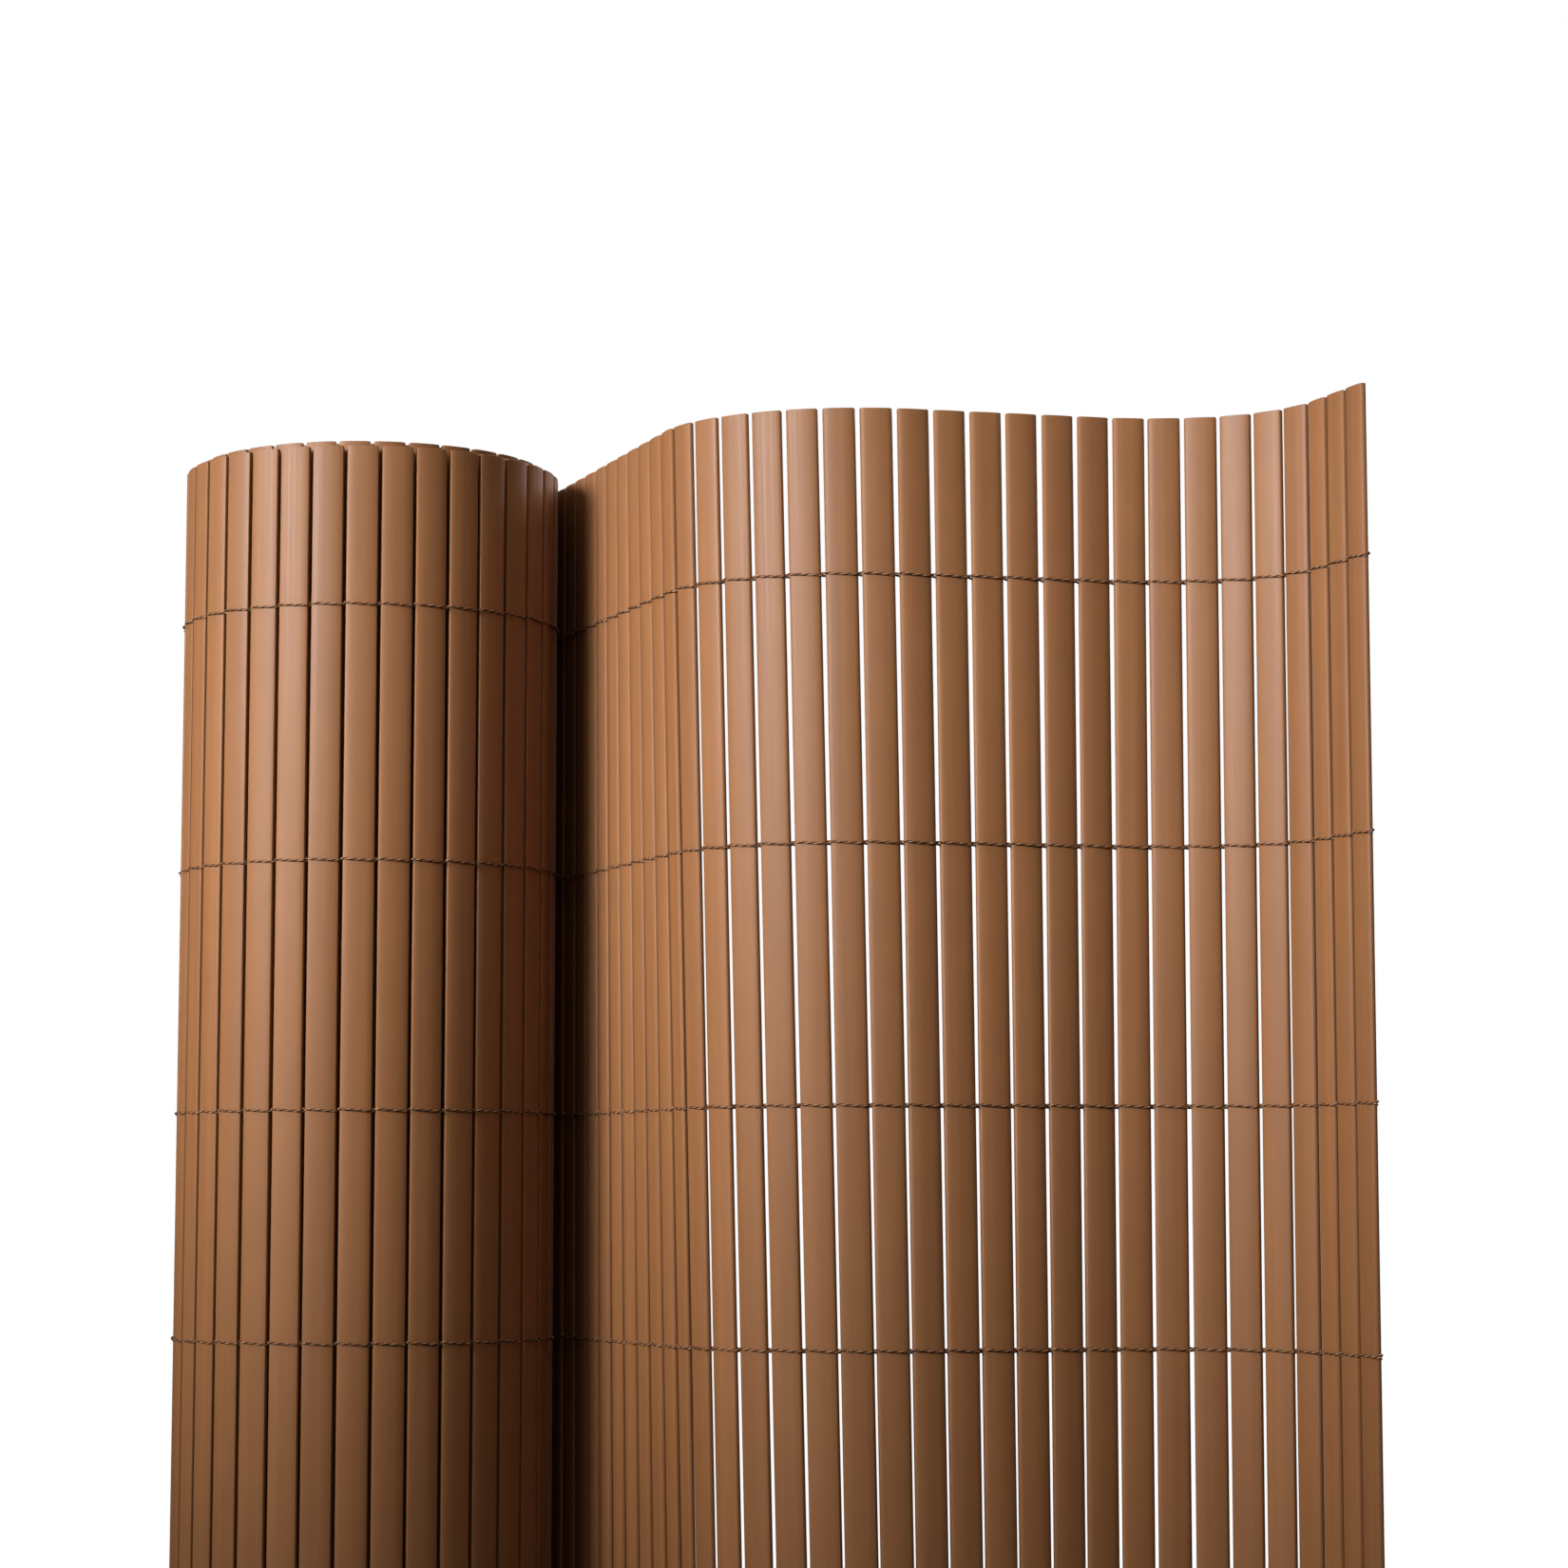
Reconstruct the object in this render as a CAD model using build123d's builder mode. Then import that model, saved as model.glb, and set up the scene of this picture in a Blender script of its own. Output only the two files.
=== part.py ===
"""PVC privacy fence: a mat of hollow slats bound by rows of cord, standing on its end.

One part of the mat is still rolled up. The rest has come off the back of the roll and stands
in a loose wave in front of it. X runs to the right, Y away from the viewer and Z up.
"""
import os
from math import asin, cos, pi, radians, sin, tan

from build123d import *

os.makedirs("parts", exist_ok=True)

# Slats: hollow extrusions with a shallow crown on both faces (mm)
MAT_HEIGHT = 900
SLAT_WIDTH = 18
SLAT_THICKNESS = 4
SLAT_EDGE = 2.6
SLAT_WALL = 0.6
SLAT_GAP = 2

# Binding cords: one strand on each face, rows measured down from the top edge (mm).
# The wound rows are drawn through every turn of the roll, the others around its outer turn.
CORD_THICKNESS = 1.4
CORD_SEAT = 0.1
ROW_DEPTHS = (92, 239, 381, 512, 660, 808)
WOUND_ROWS = (1, 3, 5)

# Roll: the radius where the mat leaves it, and the room between its turns (mm)
ROLLED_SLATS = 117
LEAVE_RADIUS = 115
TURN_PLAY = 0.6
INNER_TURN_RISE = 4

# Wave: the heading where the mat leaves the roll, then slats and turn of each stretch (degrees)
LEAVE_HEADING = -68
PEEL_SLATS = 11
SHOULDER_SLATS = 2
SHOULDER_TURN = 26
HUMP_SLATS = 6
HUMP_TURN = 55
FLANK_SLATS = 5
DIP_SLATS = 3
DIP_TURN = -24
CURL_SLATS = 4
CURL_TURN = -57
FREE_SLATS = 2

# Lean of the hump to the left; the course of the mat is drawn at this height (degrees, mm)
HUMP_LEAN = 1.25
COURSE_HEIGHT = 661

# Sizes that follow from the ones above
PITCH = SLAT_WIDTH + SLAT_GAP
CORD_NEAR = SLAT_THICKNESS / 2 + CORD_SEAT
CORD_FAR = CORD_NEAR + CORD_THICKNESS
TURN_STEP = 2 * CORD_FAR + TURN_PLAY
WAVE = (
    (PEEL_SLATS, 0),
    (SHOULDER_SLATS, SHOULDER_TURN),
    (HUMP_SLATS, HUMP_TURN),
    (FLANK_SLATS, 0),
    (DIP_SLATS, DIP_TURN),
    (CURL_SLATS, CURL_TURN),
    (FREE_SLATS, 0),
)
OPEN_SLATS = sum(slats for slats, turn in WAVE)
SLAT_COUNT = ROLLED_SLATS + OPEN_SLATS
OUTER_FACE = 1
INNER_FACE = -1


def along(heading):
    """Unit step in plan at a heading in degrees."""
    return Vector(cos(radians(heading)), sin(radians(heading)))


def outward(heading):
    """Unit normal of a slat toward the face that lies outside on the roll."""
    return along(heading + 90)


def wave_points():
    """Gaps of the open stretch in plan, from the point where it leaves the roll."""
    points = [Vector(0, 0)]
    heading = LEAVE_HEADING
    for slats, turn in WAVE:
        for _ in range(slats):
            heading += turn / slats
            points.append(points[-1] + along(heading) * PITCH)
    return points


def roll_angles():
    """Angle wound between the leaving point and each gap on the roll, in radians."""
    angles = [0]
    for _ in range(ROLLED_SLATS):
        angles.append(angles[-1] + 2 * asin(PITCH / 2 / roll_radius(angles[-1])))
    return angles


def roll_radius(wound):
    """Radius of the slats' middle after winding inward by an angle in radians."""
    return LEAVE_RADIUS - TURN_STEP * wound / (2 * pi)


def roll_points():
    """Gaps of the rolled stretch in plan, from its innermost slat to the leaving point."""
    centre = outward(LEAVE_HEADING) * -LEAVE_RADIUS
    points = []
    for wound in roll_angles():
        spoke = Vector(cos(wound), sin(wound)).rotate(Axis.Z, LEAVE_HEADING + 90)
        points.append(centre + spoke * roll_radius(wound))
    return points[:0:-1]


COURSE = roll_points() + wave_points()
HEADINGS = [
    Vector(1, 0).get_signed_angle(end - start, Vector(0, 0, 1))
    for start, end in zip(COURSE, COURSE[1:])
]


def lean_share(gap):
    """Share of the hump's lean at a gap: it grows along the peel and fades over the flank."""
    place = gap - ROLLED_SLATS
    fade_end = PEEL_SLATS + SHOULDER_SLATS + HUMP_SLATS + FLANK_SLATS
    fade_start = PEEL_SLATS + (SHOULDER_SLATS + HUMP_SLATS) / 2
    return max(0, min(place / PEEL_SLATS, 1, (fade_end - place) / (fade_end - fade_start)))


def gap_at(gap, height):
    """Place of a gap at a height above the floor, with the hump's lean."""
    shift = tan(radians(HUMP_LEAN)) * lean_share(gap) * (COURSE_HEIGHT - height)
    return COURSE[gap] - MIDDLE + Vector(shift, 0)


def beside(gap, offset):
    """Step from a gap to the mitre of its two slats at an offset from their middle."""
    before = outward(HEADINGS[max(gap - 1, 0)])
    after = outward(HEADINGS[min(gap, SLAT_COUNT - 1)])
    return (before + after) * (offset / (1 + before.dot(after)))


def plan_middle():
    """Middle of the mat's plan, cords included."""
    rim = [
        COURSE[gap] + beside(gap, face * CORD_FAR)
        for gap in range(SLAT_COUNT + 1)
        for face in (OUTER_FACE, INNER_FACE)
    ]
    xs = [point.X for point in rim]
    ys = [point.Y for point in rim]
    return Vector(min(xs) + max(xs), min(ys) + max(ys)) / 2


MIDDLE = plan_middle()


def slat_section(slat, base):
    """Hollow section of one slat at its foot, which stands at a height above the floor."""
    foot = (gap_at(slat, base) + gap_at(slat + 1, base)) / 2 + Vector(0, 0, base)
    half = SLAT_WIDTH / 2
    edge = SLAT_EDGE / 2
    crown = SLAT_THICKNESS / 2
    with BuildSketch(Plane(foot, along(HEADINGS[slat]), (0, 0, 1))) as section:
        with BuildLine():
            ThreePointArc((-half, -edge), (0, -crown), (half, -edge))
            Line((half, -edge), (half, edge))
            ThreePointArc((half, edge), (0, crown), (-half, edge))
            Line((-half, edge), (-half, -edge))
        make_face()
        offset(amount=-SLAT_WALL, mode=Mode.SUBTRACT)
    return section.sketch


def slat_rise(slat):
    """Step from the foot of a slat to its head."""
    foot = gap_at(slat, 0) + gap_at(slat + 1, 0)
    head = gap_at(slat, MAT_HEIGHT) + gap_at(slat + 1, MAT_HEIGHT)
    return (head - foot) / 2 + Vector(0, 0, MAT_HEIGHT)


def bends(first, last):
    """Gaps between two ends of a strand where it changes direction, with both ends."""
    inside = range(first + 1, last)
    turned = [gap for gap in inside if abs(HEADINGS[gap] - HEADINGS[gap - 1]) > 0.01]
    return [first] + turned + [last]


def strand_section(face, first, last, height):
    """Plan of one cord strand along a face of the mat, between two gaps."""
    route = bends(first, last)
    near = [gap_at(gap, height) + beside(gap, face * CORD_NEAR) for gap in route]
    far = [gap_at(gap, height) + beside(gap, face * CORD_FAR) for gap in route]
    with BuildSketch(Plane.XY.offset(height - CORD_THICKNESS / 2)) as section:
        with BuildLine():
            Polyline(*near, *reversed(far), close=True)
        make_face()
    return section.sketch


# Open stretch: each slat from the roll to the free edge
for number in range(1, OPEN_SLATS + 1):
    place = ROLLED_SLATS + number - 1
    with BuildPart() as open_slat:
        extrude(slat_section(place, 0), amount=slat_rise(place).length, dir=slat_rise(place))
    open_slat.part.label = f"slat_{number:02d}"
    export_step(open_slat.part, f"parts/{open_slat.part.label}.step")

# Rolled stretch: the slats of each turn, from the outside in
slats_by_turn = {}
for step, wound in enumerate(roll_angles()[1:], start=1):
    turn_number = int((wound - 0.001) / (2 * pi)) + 1
    slats_by_turn.setdefault(turn_number, []).append(ROLLED_SLATS - step)
for turn_number, slats in slats_by_turn.items():
    base = 0 if turn_number == 1 else INNER_TURN_RISE
    with BuildPart() as roll_turn:
        for place in slats:
            extrude(slat_section(place, base), amount=MAT_HEIGHT, dir=(0, 0, 1))
    roll_turn.part.label = f"roll_turn_{turn_number}"
    export_step(roll_turn.part, f"parts/{roll_turn.part.label}.step")

# Cord rows: a strand on the face outside the roll, and one on the other face of the wave
for row, depth in enumerate(ROW_DEPTHS, start=1):
    height = MAT_HEIGHT - depth
    start = 0 if row in WOUND_ROWS else min(slats_by_turn[1])
    with BuildPart() as outer_cord:
        extrude(strand_section(OUTER_FACE, start, SLAT_COUNT, height), amount=CORD_THICKNESS)
    outer_cord.part.label = f"cord_{row}_outer"
    export_step(outer_cord.part, f"parts/{outer_cord.part.label}.step")
    with BuildPart() as inner_cord:
        extrude(strand_section(INNER_FACE, ROLLED_SLATS, SLAT_COUNT, height), amount=CORD_THICKNESS)
    inner_cord.part.label = f"cord_{row}_inner"
    export_step(inner_cord.part, f"parts/{inner_cord.part.label}.step")
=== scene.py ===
"""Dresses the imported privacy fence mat: PVC slats, twined binding cords, studio and camera.

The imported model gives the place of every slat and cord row. Each of them is replaced here by a
finer piece of the same form. Sizes are in metres and angles in radians, where nothing else is
said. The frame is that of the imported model: X runs to the right, Y away from the viewer and Z up.
"""

import logging
import math
import random
from collections.abc import Callable, Sequence
from dataclasses import dataclass, field
from enum import Enum

import bmesh
import bpy
from mathutils import Matrix, Vector


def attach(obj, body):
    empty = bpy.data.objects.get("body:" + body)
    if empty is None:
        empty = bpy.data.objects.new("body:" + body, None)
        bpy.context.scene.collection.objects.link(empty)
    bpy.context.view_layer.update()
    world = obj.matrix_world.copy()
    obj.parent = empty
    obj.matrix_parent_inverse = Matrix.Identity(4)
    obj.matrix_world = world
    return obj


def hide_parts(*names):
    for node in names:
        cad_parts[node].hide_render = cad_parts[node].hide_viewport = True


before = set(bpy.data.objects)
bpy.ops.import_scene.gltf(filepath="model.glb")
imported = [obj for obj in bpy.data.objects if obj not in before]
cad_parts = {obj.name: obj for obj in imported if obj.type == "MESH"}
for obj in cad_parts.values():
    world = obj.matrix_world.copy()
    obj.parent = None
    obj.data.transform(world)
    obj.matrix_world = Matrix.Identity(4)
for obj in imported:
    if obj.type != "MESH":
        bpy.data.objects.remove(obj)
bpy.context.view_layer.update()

log = logging.getLogger("privacy_fence")

Span = tuple[float, float]
Triple = tuple[float, float, float]
Colour = Triple
Socket = bpy.types.NodeSocket

# Places that are nearer than this are one place, and rounding to these digits makes them equal
NEAR = 1e-6
DIGITS = 6
# A slat belongs to a turn of the roll until it passes the turn's end by this angle
TURN_SLACK = 0.001
# Upright share of the normal from which a face belongs to an end of a slat
END_FACING = 0.9
# A wall faces outward when its normal and its place agree by more than this
OUTWARD_SLACK = 1e-9
# Range that holds most values of a noise texture
NOISE_SPAN: Span = (0.3, 0.7)


class Face(Enum):
    """The two faces of the mat, as the sign of its normal: one lies outside on the roll."""

    OUTER = 1
    INNER = -1


class Element(Enum):
    """What is picked in edit mode, with the name of its list in a bmesh."""

    VERT = "verts"
    EDGE = "edges"
    FACE = "faces"


class Slot(Enum):
    """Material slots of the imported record."""

    PVC = "slat_pvc"
    CORD = "binding_cord"


@dataclass(frozen=True)
class Stretch:
    """A run of slats over which the open mat turns by an angle.

    Attributes:
        slats: number of slats in the run.
        turn: change of heading over the run, in degrees.
    """

    slats: int
    turn: float


@dataclass
class MatCourse:
    """Plan of the mat, gap by gap, from the core of the roll to the free edge.

    The sizes repeat the driving values of the part's source, and only the twist round the shoulder
    is added here. Gap i is the start of slat i.

    Attributes:
        height: length of the slats.
        pitch: distance from one gap to the next.
        cord_far: distance from the slats' middle to the outside of a strand.
        turn_step: distance from one turn of the roll to the next.
        rolled_slats: number of slats that are still rolled up.
        leave_radius: radius of the roll where the mat leaves it.
        leave_heading: heading of the mat where it leaves the roll.
        inner_turn_rise: how much higher the inner turns stand than the outer one.
        peel: straight run off the back of the roll.
        shoulder: run that bends into the hump.
        hump: run round the hump.
        flank: straight run after the hump.
        dip: run that begins to bend the other way.
        curl: run that bends back toward the viewer.
        free: straight run at the free edge.
        hump_lean: lean of the hump to the left.
        course_height: height at which the course is drawn without lean.
        shoulder_twist: most that a slat round the shoulder turns about its length.
        twist_reach: number of slats over which that twist fades.
        gaps: places of the gaps in plan.
        headings: heading of each slat.
        middle: middle of the plan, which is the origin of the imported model.
    """

    height: float = 0.900
    pitch: float = 0.020
    cord_far: float = 0.0035
    turn_step: float = 0.0076
    rolled_slats: int = 117
    leave_radius: float = 0.115
    leave_heading: float = math.radians(-68)
    inner_turn_rise: float = 0.004
    peel: Stretch = Stretch(11, 0)
    shoulder: Stretch = Stretch(2, 26)
    hump: Stretch = Stretch(6, 55)
    flank: Stretch = Stretch(5, 0)
    dip: Stretch = Stretch(3, -24)
    curl: Stretch = Stretch(4, -57)
    free: Stretch = Stretch(2, 0)
    hump_lean: float = math.radians(1.25)
    course_height: float = 0.661
    shoulder_twist: float = math.radians(-3.8)
    twist_reach: float = 3.5
    gaps: list[Vector] = field(init=False)
    headings: list[float] = field(init=False)
    middle: Vector = field(init=False)

    def __post_init__(self) -> None:
        """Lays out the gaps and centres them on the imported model's origin."""
        self.gaps = self._roll_gaps() + self._wave_gaps()
        steps = [end - start for start, end in zip(self.gaps, self.gaps[1:])]
        self.headings = [math.atan2(step.y, step.x) for step in steps]
        self.middle = self._plan_middle()

    @property
    def slat_count(self) -> int:
        """Number of slats in the whole mat."""
        return len(self.headings)

    def _wave_gaps(self) -> list[Vector]:
        """Lays out the open stretch.

        Returns:
            Its gaps in plan, from the point where it leaves the roll.
        """
        points = [Vector((0, 0, 0))]
        heading = self.leave_heading
        runs = (self.peel, self.shoulder, self.hump, self.flank, self.dip, self.curl, self.free)
        for run in runs:
            for _ in range(run.slats):
                heading += math.radians(run.turn) / run.slats
                points.append(points[-1] + self._step(heading) * self.pitch)
        return points

    def _wound(self) -> list[float]:
        """Winds the rolled stretch.

        Returns:
            The angle wound inward from the leaving point at each gap of the roll.
        """
        angles = [0.0]
        for _ in range(self.rolled_slats):
            half_chord = self.pitch / 2 / self._roll_radius(angles[-1])
            angles.append(angles[-1] + 2 * math.asin(half_chord))
        return angles

    def _roll_radius(self, wound: float) -> float:
        """Radius of the slats' middle after winding inward by an angle."""
        return self.leave_radius - self.turn_step * wound / math.tau

    def _roll_gaps(self) -> list[Vector]:
        """Lays out the rolled stretch.

        Returns:
            Its gaps in plan, from the core to just before the leaving point.
        """
        spoke = self.leave_heading + math.pi / 2
        centre = self._step(spoke) * -self.leave_radius
        points = [
            centre + self._step(spoke + wound) * self._roll_radius(wound)
            for wound in self._wound()
        ]
        return points[:0:-1]

    def _plan_middle(self) -> Vector:
        """Finds the middle of the mat's plan, cords included.

        Returns:
            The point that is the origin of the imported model.
        """
        rim = [
            point + self._mitre(gap) * (face.value * self.cord_far)
            for gap, point in enumerate(self.gaps)
            for face in Face
        ]
        xs = [point.x for point in rim]
        ys = [point.y for point in rim]
        return Vector((min(xs) + max(xs), min(ys) + max(ys), 0)) / 2

    def _mitre(self, gap: int) -> Vector:
        """Finds the mitre of the two slats at a gap.

        Args:
            gap: number of the gap, counted from the core.

        Returns:
            The step from the gap to the mitre, for an offset of one.
        """
        before = self.outward(max(gap - 1, 0))
        after = self.outward(min(gap, self.slat_count - 1))
        return (before + after) / (1 + before.dot(after))

    @staticmethod
    def _step(heading: float) -> Vector:
        """Unit step in plan at a heading."""
        return Vector((math.cos(heading), math.sin(heading), 0))

    def along(self, slat: int) -> Vector:
        """Unit step across a slat, toward the free edge."""
        return self._step(self.headings[slat])

    def outward(self, slat: int) -> Vector:
        """Unit normal of a slat, toward the face that lies outside on the roll."""
        return self._step(self.headings[slat] + math.pi / 2)

    def lean_share(self, gap: int) -> float:
        """Finds how much of the hump's lean a gap has.

        Args:
            gap: number of the gap, counted from the core.

        Returns:
            The share of the lean, which grows along the peel and fades over the flank.
        """
        place = gap - self.rolled_slats
        fade_start = self.peel.slats + (self.shoulder.slats + self.hump.slats) / 2
        fade_end = self.peel.slats + self.shoulder.slats + self.hump.slats + self.flank.slats
        fade = (fade_end - place) / (fade_end - fade_start)
        return max(0.0, min(place / self.peel.slats, 1.0, fade))

    def twist(self, slat: int) -> float:
        """Turn of a slat about its length: round the shoulder they stand more edge-on."""
        last_shoulder = self.rolled_slats + self.peel.slats + self.shoulder.slats - 1
        return self.shoulder_twist * max(0.0, 1 - abs(slat - last_shoulder) / self.twist_reach)

    def gap_at(self, gap: int, height: float) -> Vector:
        """Place of a gap at a height above the floor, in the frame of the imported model."""
        lean = math.tan(self.hump_lean) * self.lean_share(gap) * (self.course_height - height)
        return self.gaps[gap] - self.middle + Vector((lean, 0, height))

    def slat_frame(self, slat: int, base: float) -> Matrix:
        """Sets up the frame of a slat: X across it, Y out of the roll, Z up along its lean.

        Args:
            slat: number of the slat, counted from the core.
            base: height of its foot above the floor.

        Returns:
            The matrix that takes a slat modelled at the origin to its place.
        """
        foot = (self.gap_at(slat, 0) + self.gap_at(slat + 1, 0)) / 2
        head = (self.gap_at(slat, self.height) + self.gap_at(slat + 1, self.height)) / 2
        rise = (head - foot) / self.height
        foot.z = base
        heading = self.headings[slat] + self.twist(slat)
        columns = (self._step(heading), self._step(heading + math.pi / 2), rise, foot)
        placed = Matrix([(*row, 0) for row in columns]).transposed()
        placed[3][3] = 1
        return placed

    def turns(self) -> list[list[int]]:
        """Sorts the rolled slats into turns.

        Returns:
            The slats of each turn, from the outermost turn inward.
        """
        turns: dict[int, list[int]] = {}
        for step, wound in enumerate(self._wound()[1:], start=1):
            turn = int((wound - TURN_SLACK) / math.tau)
            turns.setdefault(turn, []).append(self.rolled_slats - step)
        return [turns[number] for number in sorted(turns)]


class EditBench:
    """Edit mode on one piece, with its elements picked by place or normal."""

    def __init__(self, piece: bpy.types.Object) -> None:
        """Keeps the piece that is to be shaped."""
        self.piece = piece

    def __enter__(self) -> "EditBench":
        """Selects the piece alone and enters edit mode.

        Returns:
            The bench itself.
        """
        select_only(self.piece)
        bpy.ops.object.mode_set(mode="EDIT")
        return self

    def __exit__(self, *_: object) -> None:
        """Leaves edit mode."""
        bpy.ops.object.mode_set(mode="OBJECT")

    def pick(self, kind: Element, test: Callable[..., bool]) -> None:
        """Selects the elements that pass a test, and nothing else.

        Args:
            kind: vertices, edges or faces.
            test: says of one element whether it is picked.
        """
        bpy.ops.mesh.select_mode(type=kind.name)
        bpy.ops.mesh.select_all(action="DESELECT")
        shape = bmesh.from_edit_mesh(self.piece.data)
        for element in [one for one in getattr(shape, kind.value) if test(one)]:
            element.select_set(True)
        shape.select_flush_mode()
        bmesh.update_edit_mesh(self.piece.data)


class NodeBench:
    """A tree of shader nodes under construction."""

    def __init__(self, tree: bpy.types.NodeTree) -> None:
        """Empties a tree and keeps it."""
        self.tree = tree
        self.tree.nodes.clear()

    def add(self, kind: str) -> bpy.types.Node:
        """Adds a node of a kind."""
        return self.tree.nodes.new(kind)

    def feed(self, target: Socket, value: Socket | float) -> None:
        """Gives an input its value.

        Args:
            target: the input.
            value: an output that is linked to it, or a number that is set on it.
        """
        if isinstance(value, Socket):
            self.tree.links.new(value, target)
        else:
            target.default_value = value

    def combine(self, operation: str, first: Socket, second: Socket | float = 0) -> Socket:
        """Reckons with two values.

        Args:
            operation: name of the operation.
            first: its first value.
            second: its second value, if it takes one.

        Returns:
            The result.
        """
        node = self.add("ShaderNodeMath")
        node.operation = operation
        self.feed(node.inputs[0], first)
        self.feed(node.inputs[1], second)
        return node.outputs["Value"]

    def remap(self, value: Socket, source: Span, target: Span) -> Socket:
        """Carries a value from one range to another.

        Args:
            value: the value.
            source: range that it comes from.
            target: range that it goes to.

        Returns:
            The new value, which is held within its range.
        """
        node = self.add("ShaderNodeMapRange")
        self.feed(node.inputs["Value"], value)
        node.inputs["From Min"].default_value, node.inputs["From Max"].default_value = source
        node.inputs["To Min"].default_value, node.inputs["To Max"].default_value = target
        return node.outputs["Result"]

    def split(self, vector: Socket) -> bpy.types.NodeOutputs:
        """Splits a vector.

        Args:
            vector: the vector.

        Returns:
            Its parts, by the names X, Y and Z.
        """
        node = self.add("ShaderNodeSeparateXYZ")
        self.feed(node.inputs["Vector"], vector)
        return node.outputs


@dataclass(frozen=True)
class NoisePattern:
    """A noise texture that is stretched along its coordinates.

    Attributes:
        stretch: cycles per metre along each coordinate.
        detail: octaves of finer noise.
    """

    stretch: Triple
    detail: float


class FinishBench(NodeBench):
    """A material under construction: one Principled shader and the nodes that feed it."""

    def __init__(self, name: str) -> None:
        """Starts a material with a bare Principled shader.

        Args:
            name: name of the material.
        """
        self.material = bpy.data.materials.new(name)
        self.material.use_nodes = True
        super().__init__(self.material.node_tree)
        self.shader = self.add("ShaderNodeBsdfPrincipled")
        output = self.add("ShaderNodeOutputMaterial")
        self.feed(output.inputs["Surface"], self.shader.outputs["BSDF"])

    def give(self, name: str, value: Socket | float) -> None:
        """Gives an input of the shader its value."""
        self.feed(self.shader.inputs[name], value)

    def coordinates(self) -> Socket:
        """Coordinates of the object."""
        return self.add("ShaderNodeTexCoord").outputs["Object"]

    def attribute(self, name: str, output: str) -> Socket:
        """Reads an attribute of the mesh.

        Args:
            name: name of the attribute.
            output: Fac for a number, or Vector.

        Returns:
            Its value.
        """
        node = self.add("ShaderNodeAttribute")
        node.attribute_name = name
        return node.outputs[output]

    def noise(self, place: Socket, pattern: NoisePattern) -> Socket:
        """Lays a noise pattern over a place.

        Args:
            place: coordinates that the noise follows.
            pattern: its stretch and detail.

        Returns:
            The noise value, around one half.
        """
        mapping = self.add("ShaderNodeMapping")
        mapping.inputs["Scale"].default_value = pattern.stretch
        self.feed(mapping.inputs["Vector"], place)
        node = self.add("ShaderNodeTexNoise")
        node.inputs["Scale"].default_value = 1
        node.inputs["Detail"].default_value = pattern.detail
        self.feed(node.inputs["Vector"], mapping.outputs["Vector"])
        return node.outputs["Fac"]

    def ramp(self, value: Socket, stops: Sequence[float], colours: Sequence[Colour]) -> Socket:
        """Reads a colour from a ramp.

        Args:
            value: where on the ramp it is read.
            stops: places of the ramp's colours.
            colours: the colours.

        Returns:
            The colour.
        """
        node = self.add("ShaderNodeValToRGB")
        band = node.color_ramp
        while len(band.elements) < len(stops):
            band.elements.new(1)
        for element, place, colour in zip(band.elements, stops, colours):
            element.position = place
            element.color = (*colour, 1)
        self.feed(node.inputs["Fac"], value)
        return node.outputs["Color"]

    def tint(self, colour: Socket, value: Socket) -> Socket:
        """Makes a colour darker or lighter.

        Args:
            colour: the colour.
            value: factor of its brightness.

        Returns:
            The new colour.
        """
        node = self.add("ShaderNodeHueSaturation")
        self.feed(node.inputs["Color"], colour)
        self.feed(node.inputs["Value"], value)
        return node.outputs["Color"]

    def bump(self, height: Socket, depth: float = 1, strength: float = 1) -> None:
        """Gives the shader a relief.

        Args:
            height: height of the relief.
            depth: what a height of one measures.
            strength: how strongly it shows.
        """
        node = self.add("ShaderNodeBump")
        node.inputs["Distance"].default_value = depth
        node.inputs["Strength"].default_value = strength
        self.feed(node.inputs["Height"], height)
        self.give("Normal", node.outputs["Normal"])


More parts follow.
